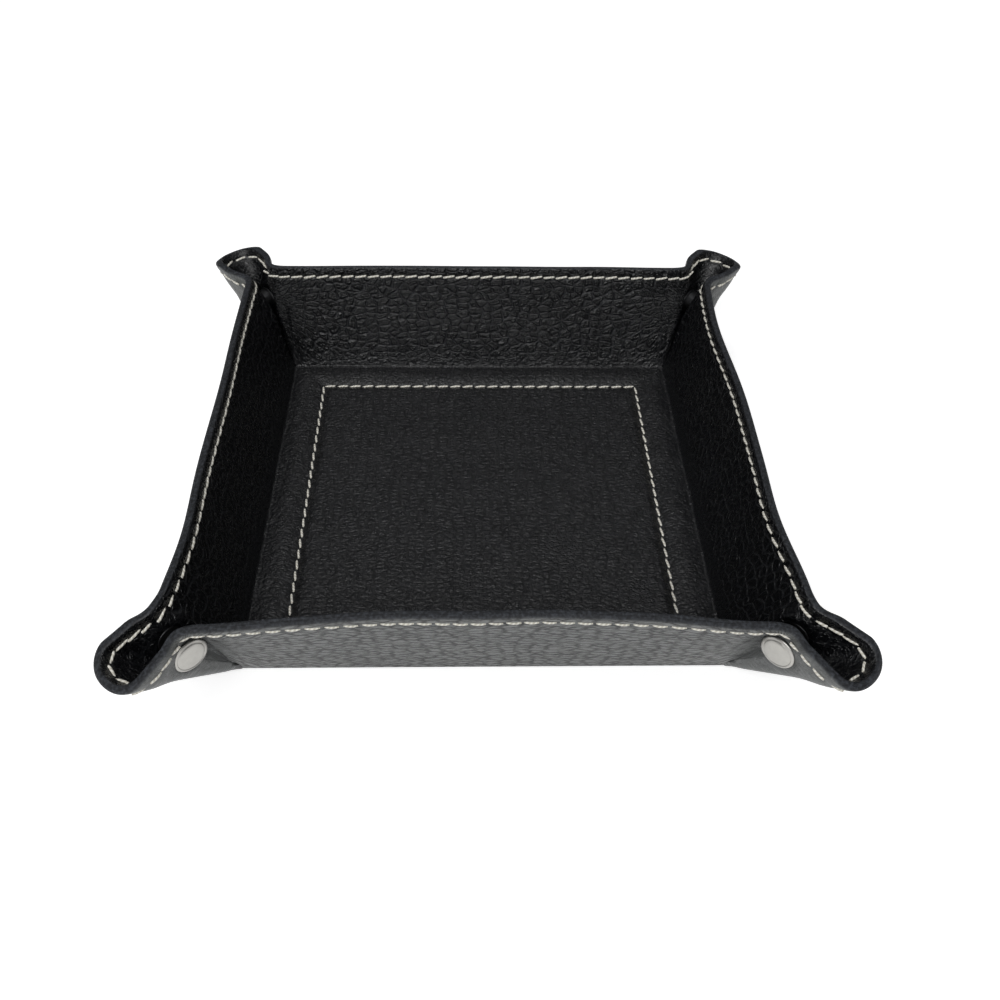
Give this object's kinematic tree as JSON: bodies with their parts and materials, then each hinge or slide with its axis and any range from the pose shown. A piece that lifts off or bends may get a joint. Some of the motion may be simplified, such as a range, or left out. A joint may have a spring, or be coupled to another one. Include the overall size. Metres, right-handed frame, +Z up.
{
  "type": "valet tray",
  "caption": "Square leather tray whose corners are pinched outward and held by press studs; it holds keys and coins and unsnaps to open out nearly flat.",
  "frame": {"origin": "centre of the tray's underside, on the surface it stands on", "axes": "+X along the front wall to the right, +Y from the front to the back, +Z up out of the tray"},
  "size_m": [0.1914, 0.1914, 0.0375],
  "materials": {
    "outer_leather": "pebbled, semi-matte",
    "lining_leather": "pebbled, semi-matte",
    "thread": "twisted, matte",
    "board": "pressed fibre board, matte",
    "snap_metal": "satin nickel"
  },
  "bodies": {
    "base": {"base_outer_leather": "outer_leather", "base_board": "board", "base_lining": "lining_leather", "base_stitching": "thread", "front_crease": "outer_leather", "right_crease": "outer_leather", "back_crease": "outer_leather", "left_crease": "outer_leather"},
    "front_wall": {"front_wall_outer_leather": "outer_leather", "front_wall_lining": "lining_leather", "front_wall_stitching": "thread"},
    "right_wall": {"right_wall_outer_leather": "outer_leather", "right_wall_lining": "lining_leather", "right_wall_stitching": "thread"},
    "back_wall": {"back_wall_outer_leather": "outer_leather", "back_wall_lining": "lining_leather", "back_wall_stitching": "thread"},
    "left_wall": {"left_wall_outer_leather": "outer_leather", "left_wall_lining": "lining_leather", "left_wall_stitching": "thread"},
    "front_wall_left_ear": {"front_wall_left_ear_outer_leather": "outer_leather", "front_wall_left_ear_lining": "lining_leather", "front_left_snap_cap": "snap_metal", "front_left_snap_socket": "snap_metal"},
    "front_wall_left_ear_tip": {"front_wall_left_ear_tip": "outer_leather"},
    "front_wall_right_ear": {"front_wall_right_ear_outer_leather": "outer_leather", "front_wall_right_ear_lining": "lining_leather", "front_right_snap_cap": "snap_metal", "front_right_snap_socket": "snap_metal"},
    "front_wall_right_ear_tip": {"front_wall_right_ear_tip": "outer_leather"},
    "right_wall_front_ear": {"right_wall_front_ear_outer_leather": "outer_leather", "right_wall_front_ear_lining": "lining_leather", "front_right_snap_stud": "snap_metal", "front_right_snap_post": "snap_metal"},
    "right_wall_front_ear_tip": {"right_wall_front_ear_tip": "outer_leather"},
    "right_wall_back_ear": {"right_wall_back_ear_outer_leather": "outer_leather", "right_wall_back_ear_lining": "lining_leather", "back_right_snap_stud": "snap_metal", "back_right_snap_post": "snap_metal"},
    "right_wall_back_ear_tip": {"right_wall_back_ear_tip": "outer_leather"},
    "back_wall_left_ear": {"back_wall_left_ear_outer_leather": "outer_leather", "back_wall_left_ear_lining": "lining_leather", "back_left_snap_cap": "snap_metal", "back_left_snap_socket": "snap_metal"},
    "back_wall_left_ear_tip": {"back_wall_left_ear_tip": "outer_leather"},
    "back_wall_right_ear": {"back_wall_right_ear_outer_leather": "outer_leather", "back_wall_right_ear_lining": "lining_leather", "back_right_snap_cap": "snap_metal", "back_right_snap_socket": "snap_metal"},
    "back_wall_right_ear_tip": {"back_wall_right_ear_tip": "outer_leather"},
    "left_wall_front_ear": {"left_wall_front_ear_outer_leather": "outer_leather", "left_wall_front_ear_lining": "lining_leather", "front_left_snap_stud": "snap_metal", "front_left_snap_post": "snap_metal"},
    "left_wall_front_ear_tip": {"left_wall_front_ear_tip": "outer_leather"},
    "left_wall_back_ear": {"left_wall_back_ear_outer_leather": "outer_leather", "left_wall_back_ear_lining": "lining_leather", "back_left_snap_stud": "snap_metal", "back_left_snap_post": "snap_metal"},
    "left_wall_back_ear_tip": {"left_wall_back_ear_tip": "outer_leather"}
  },
  "joints": [
    {"name": "front_wall_fold", "type": "hinge", "parent": "base", "child": "front_wall", "pos_m": [0, -0.068, 0.0024], "axis": [1, 0, 0], "range_deg": [0, 66], "deforming": ["front_crease"]},
    {"name": "right_wall_fold", "type": "hinge", "parent": "base", "child": "right_wall", "pos_m": [0.068, 0, 0.0024], "axis": [0, 1, 0], "range_deg": [0, 66], "deforming": ["right_crease"]},
    {"name": "back_wall_fold", "type": "hinge", "parent": "base", "child": "back_wall", "pos_m": [0, 0.068, 0.0024], "axis": [-1, 0, 0], "range_deg": [0, 66], "deforming": ["back_crease"]},
    {"name": "left_wall_fold", "type": "hinge", "parent": "base", "child": "left_wall", "pos_m": [-0.068, 0, 0.0024], "axis": [0, -1, 0], "range_deg": [0, 66], "deforming": ["left_crease"]},
    {"name": "front_wall_left_ear_unbend", "type": "hinge", "parent": "front_wall", "child": "front_wall_left_ear", "pos_m": [-0.068, -0.068, 0.0024], "axis": [0.2002, 0.3125, -0.9286], "range_deg": [0, 49.1]},
    {"name": "front_wall_left_ear_tip_unroll", "type": "hinge", "parent": "front_wall_left_ear", "child": "front_wall_left_ear_tip", "pos_m": [-0.068, -0.068, 0.0024], "axis": [-0.4451, -0.6049, 0.6603], "range_deg": [0, 85.7], "deforming": ["front_wall_left_ear_tip"]},
    {"name": "front_wall_right_ear_unbend", "type": "hinge", "parent": "front_wall", "child": "front_wall_right_ear", "pos_m": [0.068, -0.068, 0.0024], "axis": [0.2002, -0.3125, 0.9286], "range_deg": [0, 49.1]},
    {"name": "front_wall_right_ear_tip_unroll", "type": "hinge", "parent": "front_wall_right_ear", "child": "front_wall_right_ear_tip", "pos_m": [0.068, -0.068, 0.0024], "axis": [-0.4451, 0.6049, -0.6603], "range_deg": [0, 85.7], "deforming": ["front_wall_right_ear_tip"]},
    {"name": "right_wall_front_ear_unbend", "type": "hinge", "parent": "right_wall", "child": "right_wall_front_ear", "pos_m": [0.068, -0.068, 0.0024], "axis": [-0.3125, 0.2002, -0.9286], "range_deg": [0, 49.1]},
    {"name": "right_wall_front_ear_tip_unroll", "type": "hinge", "parent": "right_wall_front_ear", "child": "right_wall_front_ear_tip", "pos_m": [0.068, -0.068, 0.0024], "axis": [0.6049, -0.4451, 0.6603], "range_deg": [0, 85.7], "deforming": ["right_wall_front_ear_tip"]},
    {"name": "right_wall_back_ear_unbend", "type": "hinge", "parent": "right_wall", "child": "right_wall_back_ear", "pos_m": [0.068, 0.068, 0.0024], "axis": [0.3125, 0.2002, 0.9286], "range_deg": [0, 49.1]},
    {"name": "right_wall_back_ear_tip_unroll", "type": "hinge", "parent": "right_wall_back_ear", "child": "right_wall_back_ear_tip", "pos_m": [0.068, 0.068, 0.0024], "axis": [-0.6049, -0.4451, -0.6603], "range_deg": [0, 85.7], "deforming": ["right_wall_back_ear_tip"]},
    {"name": "back_wall_left_ear_unbend", "type": "hinge", "parent": "back_wall", "child": "back_wall_left_ear", "pos_m": [-0.068, 0.068, 0.0024], "axis": [-0.2002, 0.3125, 0.9286], "range_deg": [0, 49.1]},
    {"name": "back_wall_left_ear_tip_unroll", "type": "hinge", "parent": "back_wall_left_ear", "child": "back_wall_left_ear_tip", "pos_m": [-0.068, 0.068, 0.0024], "axis": [0.4451, -0.6049, -0.6603], "range_deg": [0, 85.7], "deforming": ["back_wall_left_ear_tip"]},
    {"name": "back_wall_right_ear_unbend", "type": "hinge", "parent": "back_wall", "child": "back_wall_right_ear", "pos_m": [0.068, 0.068, 0.0024], "axis": [-0.2002, -0.3125, -0.9286], "range_deg": [0, 49.1]},
    {"name": "back_wall_right_ear_tip_unroll", "type": "hinge", "parent": "back_wall_right_ear", "child": "back_wall_right_ear_tip", "pos_m": [0.068, 0.068, 0.0024], "axis": [0.4451, 0.6049, 0.6603], "range_deg": [0, 85.7], "deforming": ["back_wall_right_ear_tip"]},
    {"name": "left_wall_front_ear_unbend", "type": "hinge", "parent": "left_wall", "child": "left_wall_front_ear", "pos_m": [-0.068, -0.068, 0.0024], "axis": [-0.3125, -0.2002, 0.9286], "range_deg": [0, 49.1]},
    {"name": "left_wall_front_ear_tip_unroll", "type": "hinge", "parent": "left_wall_front_ear", "child": "left_wall_front_ear_tip", "pos_m": [-0.068, -0.068, 0.0024], "axis": [0.6049, 0.4451, -0.6603], "range_deg": [0, 85.7], "deforming": ["left_wall_front_ear_tip"]},
    {"name": "left_wall_back_ear_unbend", "type": "hinge", "parent": "left_wall", "child": "left_wall_back_ear", "pos_m": [-0.068, 0.068, 0.0024], "axis": [0.3125, -0.2002, -0.9286], "range_deg": [0, 49.1]},
    {"name": "left_wall_back_ear_tip_unroll", "type": "hinge", "parent": "left_wall_back_ear", "child": "left_wall_back_ear_tip", "pos_m": [-0.068, 0.068, 0.0024], "axis": [-0.6049, 0.4451, 0.6603], "range_deg": [0, 85.7], "deforming": ["left_wall_back_ear_tip"]}
  ],
  "couplings": [
    {"joint": "right_wall_fold", "follows": "front_wall_fold", "ratio": 1},
    {"joint": "back_wall_fold", "follows": "front_wall_fold", "ratio": 1},
    {"joint": "left_wall_fold", "follows": "front_wall_fold", "ratio": 1},
    {"joint": "front_wall_left_ear_unbend", "follows": "front_wall_fold", "ratio": 0.74382},
    {"joint": "front_wall_left_ear_tip_unroll", "follows": "front_wall_fold", "ratio": 1.2984},
    {"joint": "front_wall_right_ear_unbend", "follows": "front_wall_fold", "ratio": 0.74382},
    {"joint": "front_wall_right_ear_tip_unroll", "follows": "front_wall_fold", "ratio": 1.2984},
    {"joint": "right_wall_front_ear_unbend", "follows": "front_wall_fold", "ratio": 0.74382},
    {"joint": "right_wall_front_ear_tip_unroll", "follows": "front_wall_fold", "ratio": 1.2984},
    {"joint": "right_wall_back_ear_unbend", "follows": "front_wall_fold", "ratio": 0.74382},
    {"joint": "right_wall_back_ear_tip_unroll", "follows": "front_wall_fold", "ratio": 1.2984},
    {"joint": "back_wall_left_ear_unbend", "follows": "front_wall_fold", "ratio": 0.74382},
    {"joint": "back_wall_left_ear_tip_unroll", "follows": "front_wall_fold", "ratio": 1.2984},
    {"joint": "back_wall_right_ear_unbend", "follows": "front_wall_fold", "ratio": 0.74382},
    {"joint": "back_wall_right_ear_tip_unroll", "follows": "front_wall_fold", "ratio": 1.2984},
    {"joint": "left_wall_front_ear_unbend", "follows": "front_wall_fold", "ratio": 0.74382},
    {"joint": "left_wall_front_ear_tip_unroll", "follows": "front_wall_fold", "ratio": 1.2984},
    {"joint": "left_wall_back_ear_unbend", "follows": "front_wall_fold", "ratio": 0.74382},
    {"joint": "left_wall_back_ear_tip_unroll", "follows": "front_wall_fold", "ratio": 1.2984}
  ]
}
